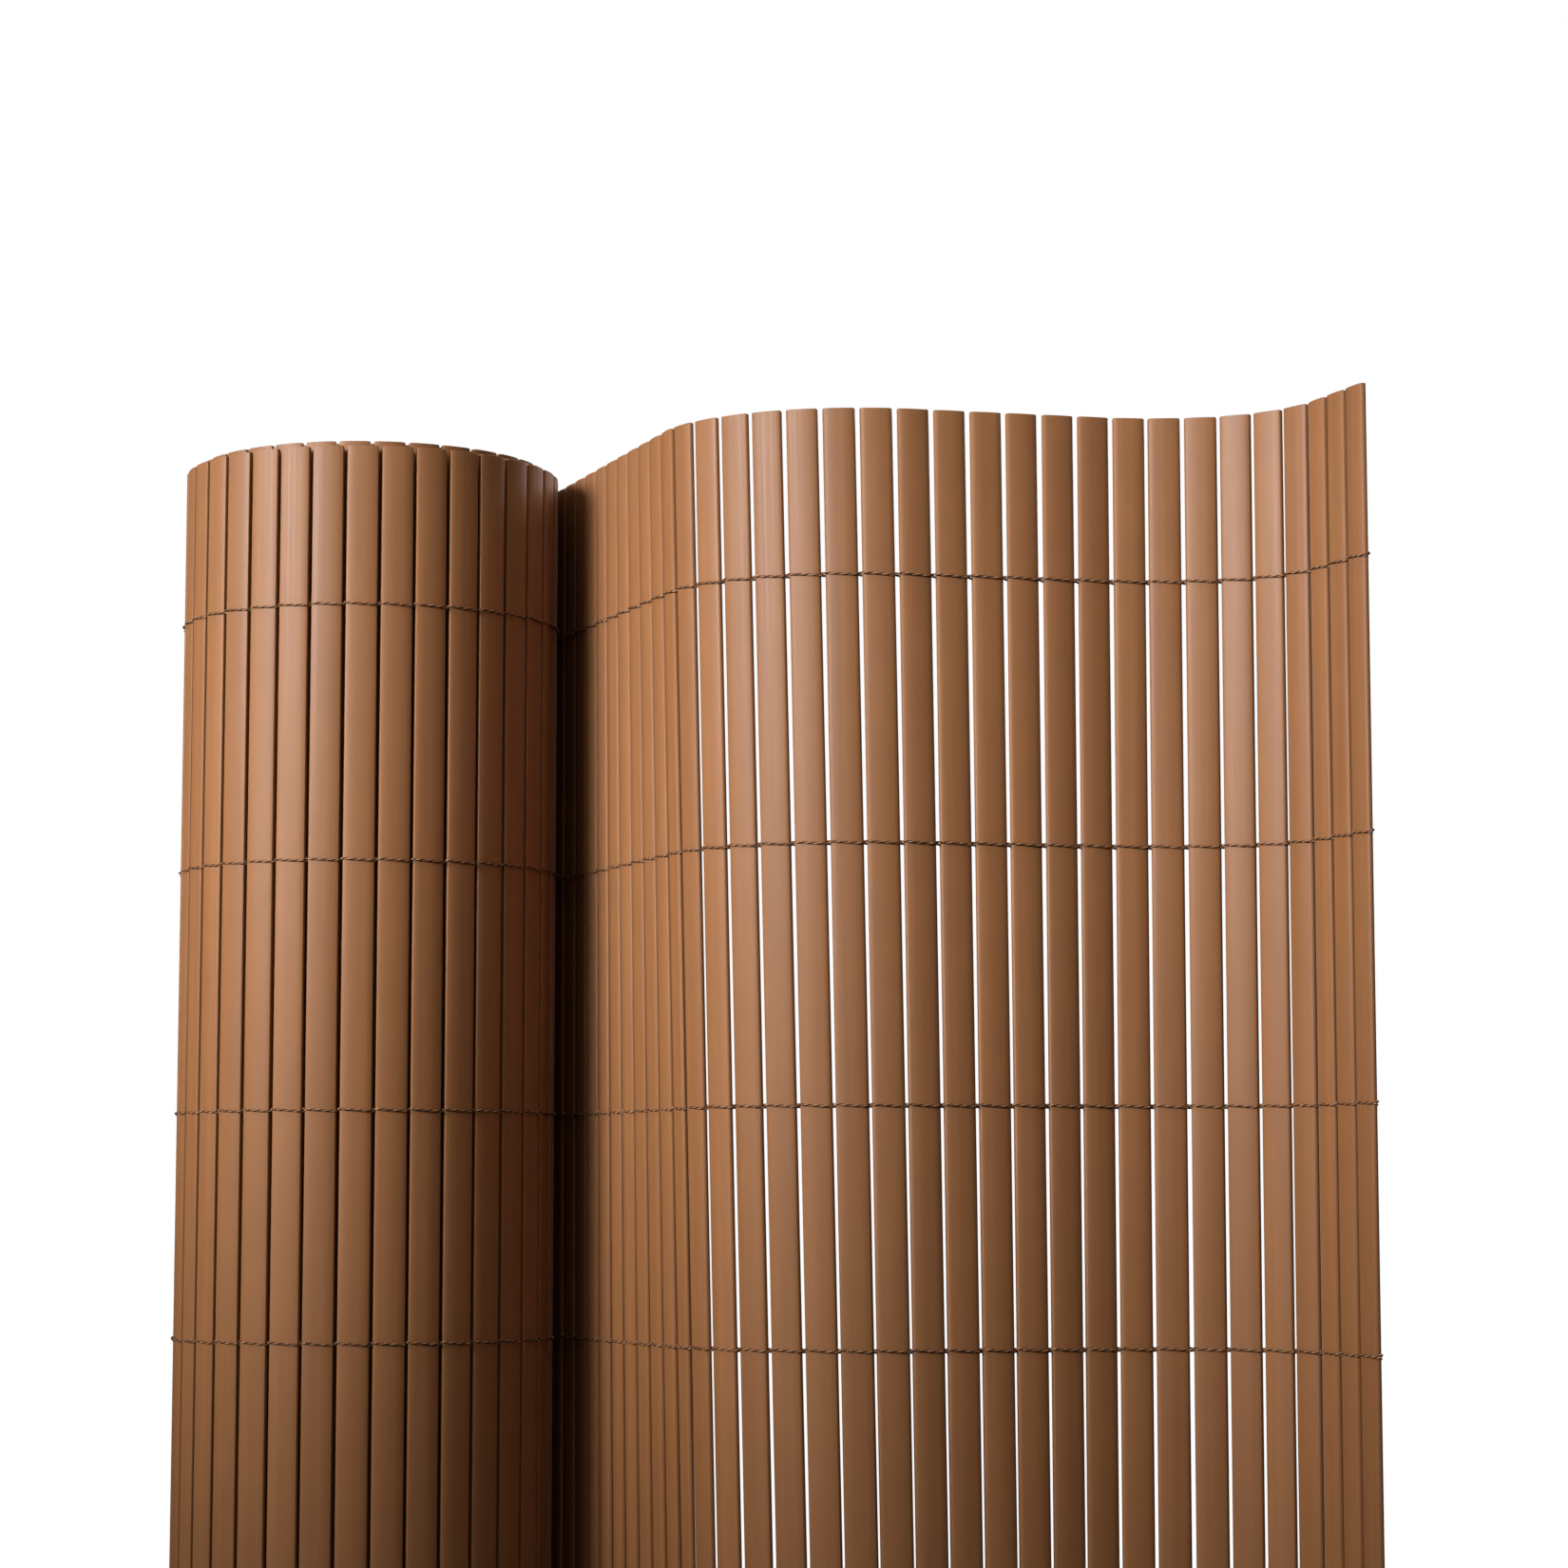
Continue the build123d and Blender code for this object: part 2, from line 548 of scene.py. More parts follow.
@dataclass(frozen=True)
class PvcFinish:
    """Satin brown PVC with the fine lines that the die leaves along each slat.

    Attributes:
        deep: colour of the darker bands.
        body: colour of most of the surface.
        pale: colour of the paler bands.
        stops: places of these colours in the noise of the bands.
        bands: broad bands along a slat.
        lines: die lines along a slat.
        mottle: soft patches.
        grain: fine grain.
        tone: darkest and lightest slat, as shares of the colour.
        cloud: darkest and lightest patch.
        streak: darkest and lightest line.
        roughness: roughness along the smoothest and the dullest lines.
        grain_share: height of the grain, as a share of the lines' height.
        line_depth: height of the lines, as relief.
        shoulder: how far the faces fall away toward the edges of a slat, as relief.
        shoulder_power: how late on the way to the edges they fall away.
        specular: strength of the reflections.
        anisotropy: how far the reflections are drawn out.
    """

    deep: Colour = (0.166, 0.0670, 0.0222)
    body: Colour = (0.180, 0.0735, 0.0250)
    pale: Colour = (0.195, 0.0810, 0.0292)
    stops: Triple = (0.30, 0.5, 0.72)
    bands: NoisePattern = NoisePattern((170, 170, 1.6), 3)
    lines: NoisePattern = NoisePattern((900, 900, 5), 2)
    mottle: NoisePattern = NoisePattern((60, 60, 38), 4)
    grain: NoisePattern = NoisePattern((2600, 2600, 700), 2)
    tone: Span = (0.95, 1.05)
    cloud: Span = (0.965, 1.035)
    streak: Span = (0.985, 1.015)
    roughness: Span = (0.46, 0.55)
    grain_share: float = 0.35
    line_depth: float = 0.000024
    shoulder: float = 0.0005
    shoulder_power: float = 3
    specular: float = 0.27
    anisotropy: float = 0.45

    def material(self) -> bpy.types.Material:
        """Builds the material, which follows each slat's own length and width.

        Returns:
            The material.
        """
        bench = FinishBench("satin_brown_pvc")
        place = bench.attribute("slat_place", "Vector")
        lines = bench.noise(place, self.lines)
        bench.give("Base Color", self._colour(bench, place, lines))
        bench.give("Roughness", bench.remap(lines, NOISE_SPAN, self.roughness))
        bench.bump(self._relief(bench, place, lines))
        bench.give("Specular IOR Level", self.specular)
        bench.give("Anisotropic", self.anisotropy)
        return bench.material

    def _colour(self, bench: FinishBench, place: Socket, lines: Socket) -> Socket:
        """Mixes the colour.

        Args:
            bench: the material under construction.
            place: place on the slat.
            lines: noise of the die lines.

        Returns:
            The colour of the bands, with the slat's tone, soft patches and fine lines.
        """
        bands = bench.noise(place, self.bands)
        colour = bench.ramp(bands, self.stops, (self.deep, self.body, self.pale))
        tone = bench.remap(bench.attribute("slat_tone", "Fac"), (0, 1), self.tone)
        cloud = bench.remap(bench.noise(place, self.mottle), NOISE_SPAN, self.cloud)
        streak = bench.remap(lines, NOISE_SPAN, self.streak)
        patches = bench.combine("MULTIPLY", tone, cloud)
        return bench.tint(colour, bench.combine("MULTIPLY", patches, streak))

    def _relief(self, bench: FinishBench, place: Socket, lines: Socket) -> Socket:
        """Works out the relief.

        Args:
            bench: the material under construction.
            place: place on the slat.
            lines: noise of the die lines.

        Returns:
            The height of the lines and the grain, less the fall toward the slat's edges.
        """
        grain = bench.combine("MULTIPLY", bench.noise(place, self.grain), self.grain_share)
        fine = bench.combine("MULTIPLY", bench.combine("ADD", lines, grain), self.line_depth)
        across = bench.attribute("slat_across", "Fac")
        edge = bench.combine("POWER", across, self.shoulder_power)
        return bench.combine("SUBTRACT", fine, bench.combine("MULTIPLY", edge, self.shoulder))


@dataclass(frozen=True)
class CordFinish:
    """Brown two-ply cord: painted shade in the grooves of its lay, and a painted highlight flecked
    like loose fibres on the crests.

    Attributes:
        groove_shade: colour of the painted shade between the plies.
        ply: colour of the plies.
        crest_highlight: colour of the painted highlight on the crests of the plies, flecked like
            loose fibres.
        stops: places of these colours from the grooves to the crests.
        plies: number of plies.
        lays: twists of the plies along the whole mat.
        fleck: flecks of loose fibres in the relief and the roughness, which also break up the
            painted highlight.
        fleck_span: range of the flecks' noise that changes the colour.
        fleck_tone: least and most of the crest that a fleck keeps, which moves the colour between
            the painted shade and the painted highlight.
        fleck_share: height of the flecks, as a share of the plies' height.
        roughness: roughness of the smoothest and the dullest flecks.
        specular: strength of the reflections.
        depth: height of the plies, as relief.
        strength: how strongly the relief shows.
    """

    # The darkest colour is painted shade in the grooves between the plies
    groove_shade: Colour = (0.018, 0.0060, 0.0020)
    ply: Colour = (0.104, 0.0424, 0.0156)
    # The palest colour is a painted highlight on the crests of the plies
    crest_highlight: Colour = (0.380, 0.2050, 0.1050)
    stops: Triple = (0.05, 0.42, 0.95)
    plies: int = 2
    lays: float = 700
    fleck: NoisePattern = NoisePattern((900, 900, 1400), 3)
    fleck_span: Span = (0.35, 0.7)
    fleck_tone: Span = (0.35, 1.3)
    fleck_share: float = 0.5
    roughness: Span = (0.6, 0.8)
    specular: float = 0.2
    depth: float = 0.0003
    strength: float = 0.8

    def material(self) -> bpy.types.Material:
        """Builds the material, which follows the strand's own length and girth.

        Returns:
            The material.
        """
        bench = FinishBench("two_ply_brown_cord")
        crest = self._crest(bench)
        fleck = bench.noise(bench.coordinates(), self.fleck)
        tone = bench.remap(fleck, self.fleck_span, self.fleck_tone)
        # Painted shade in the grooves and a painted highlight on the crests, broken up by the
        # flecks
        lay_shading = bench.combine("MULTIPLY", crest, tone)
        colours = (self.groove_shade, self.ply, self.crest_highlight)
        bench.give("Base Color", bench.ramp(lay_shading, self.stops, colours))
        bench.give("Roughness", bench.remap(fleck, NOISE_SPAN, self.roughness))
        bench.give("Specular IOR Level", self.specular)
        fibres = bench.combine("MULTIPLY", fleck, self.fleck_share)
        bench.bump(bench.combine("ADD", crest, fibres), self.depth, self.strength)
        return bench.material

    def _crest(self, bench: FinishBench) -> Socket:
        """Winds the plies round the strand.

        Args:
            bench: the material under construction.

        Returns:
            Zero in the grooves between the plies, and one on their crests.
        """
        strand = bench.split(bench.add("ShaderNodeUVMap").outputs["UV"])
        run = bench.combine("MULTIPLY", strand["X"], self.lays * math.tau)
        girth = bench.combine("MULTIPLY", strand["Y"], self.plies * math.tau)
        lay = bench.combine("SINE", bench.combine("ADD", run, girth))
        return bench.remap(lay, (-1, 1), (0, 1))


@dataclass(frozen=True)
class FloorFinish:
    """Matt off-white studio floor.

    Attributes:
        low: colour of its darker patches.
        high: colour of its lighter patches.
        cloud: the patches.
        roughness: roughness all over.
    """

    low: Colour = (0.76, 0.755, 0.745)
    high: Colour = (0.84, 0.835, 0.825)
    cloud: NoisePattern = NoisePattern((3, 3, 3), 3)
    roughness: float = 0.8

    def material(self) -> bpy.types.Material:
        """Builds the material, with a faint unevenness.

        Returns:
            The material.
        """
        bench = FinishBench("pale_studio_floor")
        cloud = bench.noise(bench.coordinates(), self.cloud)
        bench.give("Base Color", bench.ramp(cloud, NOISE_SPAN, (self.low, self.high)))
        bench.give("Roughness", self.roughness)
        return bench.material


def select_only(*pieces: bpy.types.Object) -> None:
    """Selects these objects and nothing else.

    Args:
        *pieces: the objects, of which the first is made active.
    """
    bpy.ops.object.select_all(action="DESELECT")
    for piece in pieces:
        piece.select_set(True)
    bpy.context.view_layer.objects.active = pieces[0]


def join(name: str, pieces: Sequence[bpy.types.Object]) -> bpy.types.Object:
    """Joins objects into one piece.

    Args:
        name: name of the piece.
        pieces: the objects.

    Returns:
        The piece.
    """
    select_only(*pieces)
    bpy.ops.object.join()
    pieces[0].name = name
    pieces[0].data.name = name
    return pieces[0]


def settle(
    piece: bpy.types.Object, finish: bpy.types.Material, nodes: Sequence[str]
) -> None:
    """Gives a piece its finish and puts it in the place of its CAD nodes.

    Args:
        piece: the finished piece.
        finish: its material.
        nodes: the CAD nodes that it stands for.
    """
    piece.data.materials.clear()
    piece.data.materials.append(finish)
    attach(piece, "root")
    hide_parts(*nodes)
    faces = len(piece.data.polygons)
    log.info("%s: %d faces, stands for %s", piece.name, faces, ", ".join(nodes))


@dataclass(frozen=True)
class Sway:
    """How far bound slats stray from their exact places.

    Attributes:
        slide: most that either end slides along the mat.
        twist: most that a slat turns about its length.
    """

    slide: float
    twist: float

    def draw(self, chance: random.Random, length: float) -> Matrix:
        """Draws one slat's stray.

        Args:
            chance: source of the random draws.
            length: length of the slat.

        Returns:
            The matrix of a slide of each end, and a twist.
        """
        foot = chance.uniform(-self.slide, self.slide)
        head = chance.uniform(-self.slide, self.slide)
        slide = Matrix.Identity(4)
        slide[0][2] = (head - foot) / length
        slide[0][3] = foot
        return slide @ Matrix.Rotation(chance.uniform(-self.twist, self.twist), 4, "Z")


@dataclass
class SlatBlank:
    """One hollow slat, modelled once at the origin and copied to each place in the mat.

    Attributes:
        length: length of the slat.
        width: width of the slat.
        thickness: thickness at the crown of its faces.
        edge: thickness at its long edges.
        wall: thickness of its wall.
        strips: number of flat strips that make up a face.
        edge_round: rounding of the long edges.
        edge_facets: number of facets of that rounding.
        rim_round: chamfer of the outer rim of both ends.
        corner_round: rounding of the corners of both ends, seen from the front.
        end_reach: how far the vertices of an end lie from it at most.
        smooth_angle: angle up to which facets are shaded as one face.
        pattern_room: room in which each copy has a place of its own for its pattern.
        seed: start of the random draws.
        blank: the modelled slat.
        chance: source of the random draws.
    """

    length: float = 0.900
    width: float = 0.018
    thickness: float = 0.004
    edge: float = 0.0026
    wall: float = 0.0006
    strips: int = 6
    edge_round: float = 0.00126
    edge_facets: int = 3
    rim_round: float = 0.00016
    corner_round: float = 0.0010
    end_reach: float = 0.0005
    smooth_angle: float = math.radians(40)
    pattern_room: float = 9
    seed: int = 7
    blank: bpy.types.Object = field(init=False)
    chance: random.Random = field(init=False)

    def __post_init__(self) -> None:
        """Models the blank and seeds the stray of its copies."""
        self.chance = random.Random(self.seed)
        self.blank = self._model()

    def crown(self, across: float) -> float:
        """Works out the curve of the faces.

        Args:
            across: distance from the slat's middle.

        Returns:
            Half the thickness of the slat there.
        """
        rise = (self.thickness - self.edge) / 2
        radius = ((self.width / 2) ** 2 + rise**2) / (2 * rise)
        return self.thickness / 2 - radius + math.sqrt(radius**2 - across**2)

    def _model(self) -> bpy.types.Object:
        """Models the slat from a bar.

        Returns:
            The slat, with crowned faces, rounded edges, a hollow and softened ends.
        """
        blank = self._bar()
        with EditBench(blank) as bench:
            self._raise_crowns(bench)
            self._round_edges(bench)
        self._hollow_out(blank)
        with EditBench(blank) as bench:
            bench.pick(Element.EDGE, self._is_outer_rim)
            bpy.ops.mesh.bevel(offset=self.rim_round, segments=1, affect="EDGES")
        columns = {round(abs(vert.co.x), DIGITS) for vert in blank.data.vertices}
        with EditBench(blank) as bench:
            self._round_corners(bench, sorted(columns))
        bpy.ops.object.shade_smooth_by_angle(angle=self.smooth_angle)
        return blank

    def _bar(self) -> bpy.types.Object:
        """Cuts the bar that the slat is made from.

        Returns:
            A bar that stands on the origin, as thick as the slat's edges.
        """
        bpy.ops.object.select_all(action="DESELECT")
        bpy.ops.mesh.primitive_cube_add(
            size=1, location=(0, 0, self.length / 2), scale=(self.width, self.edge, self.length)
        )
        bar = bpy.context.object
        bar.name = "slat_blank"
        bpy.ops.object.transform_apply(location=True, rotation=True, scale=True)
        return bar

    def _raise_crowns(self, bench: EditBench) -> None:
        """Opens the bar's ends, cuts its faces into strips and lifts them to the crown.

        Args:
            bench: the bar in edit mode.
        """
        bench.pick(Element.EDGE, lambda edge: abs(edge.verts[0].co.x - edge.verts[1].co.x) > NEAR)
        bpy.ops.mesh.subdivide(number_cuts=self.strips - 1)
        bench.pick(Element.FACE, lambda face: abs(face.normal.z) > END_FACING)
        bpy.ops.mesh.delete(type="FACE")
        for column in range(1, self.strips):
            across = self.width * (column / self.strips - 0.5)
            lift = self.crown(across) - self.edge / 2
            for side in (face.value for face in Face):
                bench.pick(
                    Element.VERT,
                    lambda vert: abs(vert.co.x - across) < NEAR and vert.co.y * side > 0,
                )
                bpy.ops.transform.translate(value=(0, lift * side, 0))

    def _round_edges(self, bench: EditBench) -> None:
        """Rounds the four long edges.

        Args:
            bench: the crowned bar in edit mode.
        """
        limit = self.width / 2 - NEAR
        bench.pick(
            Element.EDGE,
            lambda edge: all(abs(vert.co.x) > limit for vert in edge.verts)
            and abs(edge.verts[0].co.z - edge.verts[1].co.z) > NEAR,
        )
        bpy.ops.mesh.bevel(offset=self.edge_round, segments=self.edge_facets, affect="EDGES")

    def _hollow_out(self, blank: bpy.types.Object) -> None:
        """Gives the crowned bar its wall.

        Args:
            blank: the bar, with open ends.
        """
        wall = blank.modifiers.new("wall", "SOLIDIFY")
        wall.thickness = self.wall
        wall.offset = -1
        wall.use_even_offset = True
        bpy.ops.object.modifier_apply(modifier=wall.name)

    def _round_corners(self, bench: EditBench, columns: Sequence[float]) -> None:
        """Rounds the corners of both ends, one column of vertices after the other.

        Args:
            bench: the slat in edit mode.
            columns: distances of the vertices from the slat's middle.
        """
        for column in columns:
            inset = column - (self.width / 2 - self.corner_round)
            if inset <= 0:
                continue
            fall = self.corner_round - math.sqrt(max(self.corner_round**2 - inset**2, 0))
            for end, way in ((0, 1), (self.length, -1)):
                bench.pick(Element.VERT, lambda vert: self._is_at_end(vert, column, end))
                bpy.ops.transform.translate(value=(0, 0, way * fall))

    def _is_at_end(self, vert: bmesh.types.BMVert, column: float, end: float) -> bool:
        """Says whether a vertex lies in a column and at an end."""
        in_column = round(abs(vert.co.x), DIGITS) == column
        return in_column and abs(vert.co.z - end) < self.end_reach

    @staticmethod
    def _is_outer_rim(edge: bmesh.types.BMEdge) -> bool:
        """Says whether an edge runs round the outside of an end.

        Args:
            edge: an edge of the walled slat.

        Returns:
            Whether it lies between an end and a wall that faces outward.
        """
        middle = (edge.verts[0].co + edge.verts[1].co) / 2
        normals = [face.normal for face in edge.link_faces]
        ends = sum(abs(normal.z) > END_FACING for normal in normals)
        walls = sum(normal.xy.dot(middle.xy) > OUTWARD_SLACK for normal in normals)
        return ends == 1 and walls == 1

    def cut(self, name: str, place: Matrix, sway: Sway) -> bpy.types.Object:
        """Copies the slat to a place in the mat, with a mesh of its own.

        Args:
            name: name of the copy.
            place: frame of the slat.
            sway: how far it may stray.

        Returns:
            The copy, with its own place along the slat and its own tone as attributes.
        """
        mesh = self.blank.data.copy()
        mesh.name = name
        spots = [vert.co.copy() for vert in mesh.vertices]
        offset = Vector([self.chance.uniform(0, self.pattern_room) for _ in range(3)])
        own_place = mesh.attributes.new("slat_place", "FLOAT_VECTOR", "POINT")
        own_place.data.foreach_set("vector", [part for spot in spots for part in spot + offset])
        own_across = mesh.attributes.new("slat_across", "FLOAT", "POINT")
        own_across.data.foreach_set("value", [abs(spot.x) * 2 / self.width for spot in spots])
        own_tone = mesh.attributes.new("slat_tone", "FLOAT", "POINT")
        own_tone.data.foreach_set("value", [self.chance.random()] * len(spots))
        mesh.transform(place @ sway.draw(self.chance, self.length))
        copy = bpy.data.objects.new(name, mesh)
        bpy.context.scene.collection.objects.link(copy)
        return copy

    def discard(self) -> None:
        """Removes the blank once its copies are made."""
        bpy.data.objects.remove(self.blank)


@dataclass
class OpenStretch:
    """The slats that have come off the roll, each a piece of its own.

    Attributes:
        course: plan of the mat.
        slat: the slat that is copied.
        sway: how far the slats stray.
    """

    course: MatCourse
    slat: SlatBlank
    sway: Sway = Sway(slide=0.00015, twist=math.radians(1.3))

    def build(self, finish: bpy.types.Material) -> None:
        """Cuts, dresses and places every open slat.

        Args:
            finish: material of the slats.
        """
        places = range(self.course.rolled_slats, self.course.slat_count)
        for number, place in enumerate(places, start=1):
            stand = self.course.slat_frame(place, 0)
            piece = self.slat.cut(f"pvc_slat_{number:02d}", stand, self.sway)
            settle(piece, finish, [f"slat_{number:02d}"])


@dataclass
class RolledStretch:
    """The turns of the roll, each one piece of many slats.

    Attributes:
        course: plan of the mat.
        slat: the slat that is copied.
        sway: how far the slats stray.
    """

    course: MatCourse
    slat: SlatBlank
    sway: Sway = Sway(slide=0.0002, twist=math.radians(0.6))

    def build(self, finish: bpy.types.Material) -> None:
        """Cuts the slats of every turn, joins them and dresses the turn.

        Args:
            finish: material of the slats.
        """
        for number, places in enumerate(self.course.turns(), start=1):
            base = 0 if number == 1 else self.course.inner_turn_rise
            slats = [
                self.slat.cut(f"turn_{number}_slat", self.course.slat_frame(place, base), self.sway)
                for place in places
            ]
            piece = join(f"pvc_roll_turn_{number}", slats)
            settle(piece, finish, [f"roll_turn_{number}"])


@dataclass
class CordRow:
    """A row of two strands that lie on either face of the mat and change over in every gap.

    Attributes:
        course: plan of the mat.
        slat: the slat that the strands lie on.
        number: number of the row, counted from the top.
        depth: distance of the row below the top edge.
        tail: how far the strands' ends stand past the mat's ends.
        strand: thickness of a strand.
        seat: height of a strand's middle above a face, as a share of its thickness.
        drop: how far a strand lies above or below the row's middle in a gap.
        draw_in: how far the strands are drawn in at the free edge.
        stations: places of a strand's control points on its way across a slat.
        bends: number of straight bits from one control point to the next.
        facets: number of cuts in a quarter of a strand's girth.
    """

    course: MatCourse
    slat: SlatBlank
    number: int
    depth: float
    tail: float
    strand: float = 0.0014
    seat: float = 0.55
    drop: float = 0.0007
    draw_in: float = 0.0007
    stations: tuple[float, ...] = (0.08, 0.29, 0.5, 0.71, 0.92)
    bends: int = 2
    facets: int = 1

    def build(self, finish: bpy.types.Material) -> None:
        """Lays both strands, joins them and dresses the row.

        Args:
            finish: material of the cord.
        """
        strands = [self._lay(face) for face in Face]
        row = join(f"twined_cord_row_{self.number}", strands)
        with EditBench(row):
            bpy.ops.mesh.select_all(action="SELECT")
            bpy.ops.mesh.remove_doubles(threshold=NEAR)
        bpy.ops.object.shade_smooth()
        settle(row, finish, [f"cord_{self.number}_outer", f"cord_{self.number}_inner"])

    def _lay(self, first: Face) -> bpy.types.Object:
        """Lays one strand as a smooth spline and gives it its girth.

        Args:
            first: the face that it lies on at the core.

        Returns:
            The strand as a mesh tube, with its length and girth as its UV map.
        """
        route = self._route(first)
        path = bpy.data.curves.new(f"strand_{self.number}_{first.name.lower()}", "CURVE")
        path.dimensions = "3D"
        spline = path.splines.new("NURBS")
        spline.points.add(len(route) - 1)
        for control, point in zip(spline.points, route):
            control.co = (*point, 1)
        spline.use_endpoint_u = True
        spline.order_u = 3
        spline.resolution_u = self.bends
        path.bevel_depth = self.strand / 2
        path.bevel_resolution = self.facets
        path.use_fill_caps = True
        strand = bpy.data.objects.new(path.name, path)
        bpy.context.scene.collection.objects.link(strand)
        select_only(strand)
        bpy.ops.object.convert(target="MESH")
        return bpy.context.object

    def _route(self, first: Face) -> list[Vector]:
        """Leads a strand from the core to the free edge.

        Args:
            first: the face that it lies on at the core.

        Returns:
            Its control points, tails included.
        """
        side = first.value
        last = self.course.slat_count
        points = [self._in_gap(0, -side) - self.course.along(0) * self.tail]
        for slat in range(last):
            points.append(self._in_gap(slat, -side))
            points += [self._on_face(slat, side, share) for share in self.stations]
            side = -side
        end = self.course.along(last - 1)
        points.append(self._in_gap(last, -side) - end * self.draw_in)
        points.append(points[-1] + end * self.tail - Vector((0, 0, self.drop)))
        return points

    def _in_gap(self, gap: int, side: int) -> Vector:
        """Point where a strand passes through a gap, above or below its fellow."""
        return self.course.gap_at(gap, self.course.height - self.depth + side * self.drop)

    def _on_face(self, slat: int, side: int, share: float) -> Vector:
        """Finds a point of a strand on a slat's face.

        Args:
            slat: number of the slat, counted from the core.
            side: sign of the face.
            share: share of the way across the slat.

        Returns:
            The point, on the crown of the slat as it is twisted.
        """
        height = self.course.height - self.depth
        start = self.course.gap_at(slat, height)
        end = self.course.gap_at(slat + 1, height)
        across = (share - 0.5) * self.course.pitch
        tilt = across * math.sin(self.course.twist(slat))
        lift = side * (self.slat.crown(across) + self.strand * self.seat) + tilt
        slant = Vector((0, 0, side * self.drop * (2 * share - 1)))
        return start.lerp(end, share) + self.course.outward(slat) * lift + slant


@dataclass
class Binding:
    """All the cord rows of the mat.

    Attributes:
        course: plan of the mat.
        slat: the slat that the strands lie on.
        depths: distances of the rows below the top edge.
        trimmed_rows: number of upper rows whose ends are trimmed close.
        trimmed_tail: how far those ends stand past the mat's ends.
        tail: how far the other ends do.
    """

    course: MatCourse
    slat: SlatBlank
    depths: tuple[float, ...] = (0.092, 0.239, 0.381, 0.512, 0.660, 0.808)
    trimmed_rows: int = 2
    trimmed_tail: float = 0.0003
    tail: float = 0.0014

    def build(self, finish: bpy.types.Material) -> None:
        """Lays and dresses every row.

        Args:
            finish: material of the cord.
        """
        for number, depth in enumerate(self.depths, start=1):
            tail = self.trimmed_tail if number <= self.trimmed_rows else self.tail
            CordRow(self.course, self.slat, number, depth, tail).build(finish)


@dataclass(frozen=True)
class SoftBox:
    """A soft studio light that stands round the mat.

    Attributes:
        name: name of the light.
        turn: bearing from the viewer's side, positive to the right, in degrees.
        rise: height above the mat's middle, in degrees.
        reach: distance from the mat's middle.
        size: width and height of its front.
        power: power in watts.
        aim: how far right of the mat's axis, and how high, it points.
        spread: angle over which its light fans out, in degrees.
        gloss: whether it shows in glossy reflections.
        middle: height of the mat's middle, as the photo shows it.
    """

    name: str
    turn: float
    rise: float
    reach: float
    size: Span
    power: float
    aim: Span
    spread: float
    gloss: bool = True
    middle: float = 0.62

    def hang(self) -> None:
        """Hangs the light in its place and aims it."""
        turn, rise = math.radians(self.turn), math.radians(self.rise)
        toward = Vector(
            (math.sin(turn) * math.cos(rise), -math.cos(turn) * math.cos(rise), math.sin(rise))
        )
        data = bpy.data.lights.new(self.name, "AREA")
        data.shape = "RECTANGLE"
        data.size, data.size_y = self.size
        data.energy = self.power
        data.spread = math.radians(self.spread)
        light = bpy.data.objects.new(self.name, data)
        light.location = Vector((0, 0, self.middle)) + toward * self.reach
        back = light.location - Vector((self.aim[0], 0, self.aim[1]))
        light.rotation_euler = back.to_track_quat("Z", "Y").to_euler()
        light.visible_camera = False
        light.visible_glossy = self.gloss
        bpy.context.scene.collection.objects.link(light)


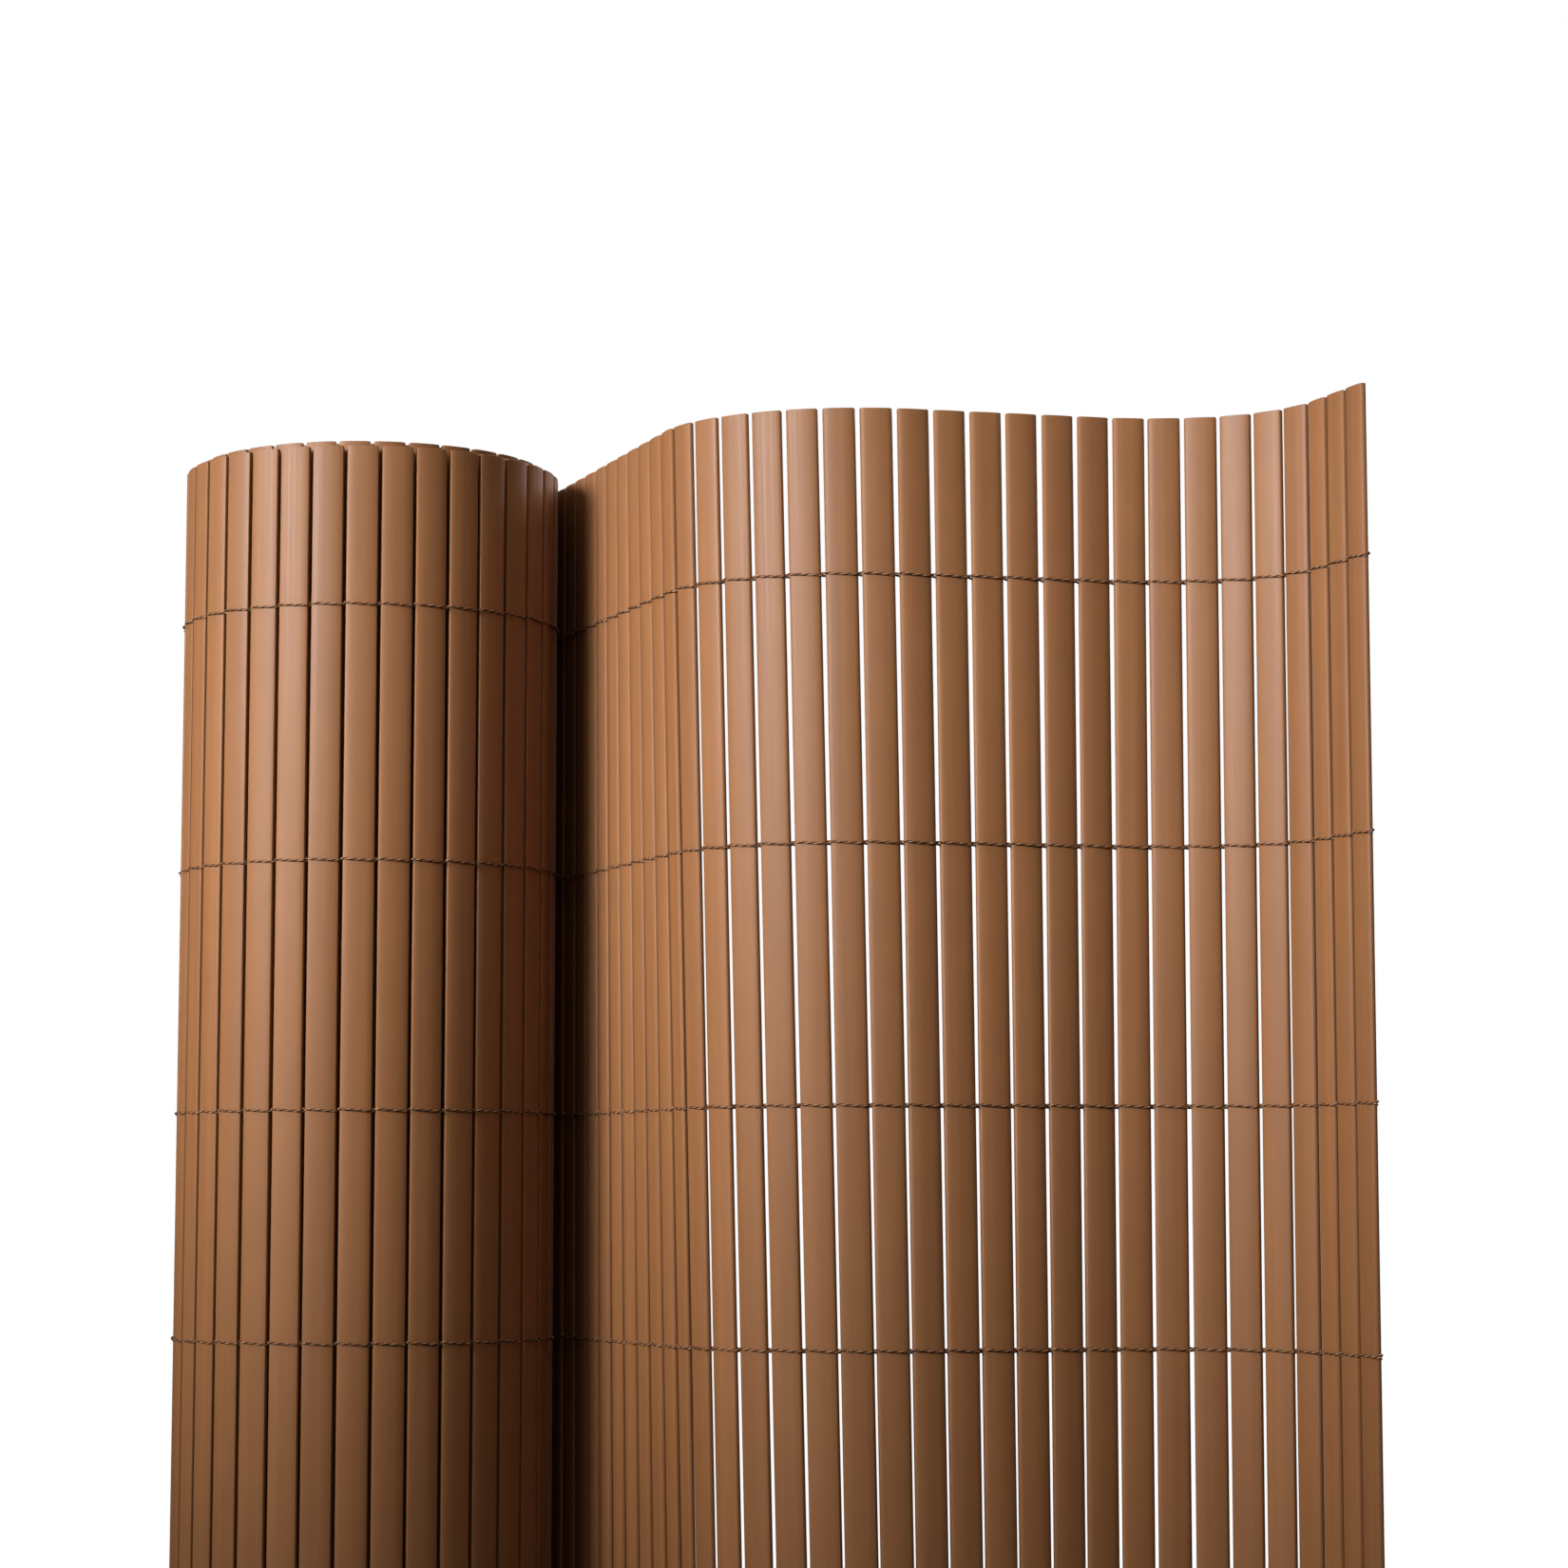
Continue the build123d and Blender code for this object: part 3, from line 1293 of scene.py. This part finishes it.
@dataclass
class Studio:
    """Pale floor, a white room behind the mat and soft lights from its two sides and its back.

    Attributes:
        floor_radius: radius of the round floor.
        floor_sides: number of straight sides of its rim.
        ambient: strength of the room's light from the front.
        backdrop: strength of its light from behind.
        backdrop_span: from where to where the one goes over to the other, from front to back.
        ceiling: strength that its light gains overhead.
        ceiling_span: from where to where it gains it, from the foot of the room to its top.
        lights: the soft lights.
    """

    floor_radius: float = 2.5
    floor_sides: int = 96
    ambient: float = 0.16
    backdrop: float = 1.0
    backdrop_span: Span = (0.1, 0.9)
    ceiling: float = 1.6
    ceiling_span: Span = (0.75, 0.95)
    lights: tuple[SoftBox, ...] = (
        SoftBox("key_light", -49, 18, 3.0, (1.8, 0.8), 14.2, (0, 0.96), 34),
        SoftBox("low_key_light", -66, 4, 1.7, (0.6, 0.4), 0.75, (-0.2, 0.57), 28, gloss=False),
        SoftBox("side_fill", 46, 25, 3.5, (1.2, 1.2), 1.15, (0, 1.35), 42, gloss=False),
        SoftBox("back_light", 146, 32, 3.2, (1.4, 1.2), 13.0, (0, 0.6), 60),
    )

    def build(self) -> None:
        """Lays the floor and sets the lights."""
        self._lay_floor()
        for light in self.lights:
            light.hang()
        self._light_room()
        bpy.context.scene.view_settings.view_transform = "Standard"

    def _lay_floor(self) -> None:
        """Lays a round floor, which throws no light back on the mat, as the photo shows none."""
        bpy.ops.object.select_all(action="DESELECT")
        bpy.ops.mesh.primitive_circle_add(
            vertices=self.floor_sides, radius=self.floor_radius, fill_type="NGON"
        )
        floor = bpy.context.object
        floor.name = "studio_floor"
        floor.visible_diffuse = False
        floor.visible_glossy = False
        floor.data.materials.append(FloorFinish().material())

    def _light_room(self) -> None:
        """Shows a white room, which lights the mat from behind and above, less from the front."""
        world = bpy.data.worlds.new("white_room")
        world.use_nodes = True
        bench = NodeBench(world.node_tree)
        seen = bench.add("ShaderNodeBackground")
        felt = bench.add("ShaderNodeBackground")
        for background in (seen, felt):
            background.inputs["Color"].default_value = (1, 1, 1, 1)
        bearing = bench.split(bench.add("ShaderNodeTexCoord").outputs["Generated"])
        back = bench.remap(bearing["Y"], self.backdrop_span, (self.ambient, self.backdrop))
        above = bench.remap(bearing["Z"], self.ceiling_span, (0, self.ceiling))
        bench.feed(felt.inputs["Strength"], bench.combine("ADD", back, above))
        blend = bench.add("ShaderNodeMixShader")
        bench.feed(blend.inputs[0], bench.add("ShaderNodeLightPath").outputs["Is Camera Ray"])
        bench.feed(blend.inputs[1], felt.outputs["Background"])
        bench.feed(blend.inputs[2], seen.outputs["Background"])
        output = bench.add("ShaderNodeOutputWorld")
        bench.feed(output.inputs["Surface"], blend.outputs["Shader"])
        world.cycles_visibility.glossy = False
        bpy.context.scene.world = world


@dataclass
class PhotoCamera:
    """Camera at the photo's place: low in front of the mat and tilted up.

    Attributes:
        place: where it stands.
        tilt: how far it looks up.
        focal_pixels: focal length, in pixels of the photo.
        image_pixels: width of the photo in pixels.
        sensor: width of the sensor, in millimetres.
    """

    place: Triple = (0.0244, -2.2332, 0.4675)
    tilt: float = math.radians(6.12)
    focal_pixels: float = 4100
    image_pixels: float = 1650
    sensor: float = 36.0

    def build(self) -> None:
        """Makes the camera and gives it to the scene."""
        data = bpy.data.cameras.new("photo_camera")
        data.sensor_width = self.sensor
        data.lens = self.sensor * self.focal_pixels / self.image_pixels
        camera = bpy.data.objects.new("photo_camera", data)
        camera.location = self.place
        camera.rotation_euler = (math.pi / 2 + self.tilt, 0, 0)
        bpy.context.scene.collection.objects.link(camera)
        bpy.context.scene.camera = camera


def main() -> None:
    """Builds the camera, the mat and the studio, in that order."""
    logging.basicConfig(level=logging.INFO, format="%(name)s: %(message)s")
    PhotoCamera().build()
    course = MatCourse()
    open_slat = SlatBlank()
    pvc = PvcFinish().material()
    OpenStretch(course, open_slat).build(pvc)
    # The photo shows narrow dark joints on the roll, so its slats keep sharper edges
    rolled_slat = SlatBlank(edge_round=0.0005, seed=11)
    RolledStretch(course, rolled_slat).build(pvc)
    cord = CordFinish().material()
    Binding(course, open_slat).build(cord)
    open_slat.discard()
    rolled_slat.discard()
    Studio().build()


if __name__ == "__main__":
    main()
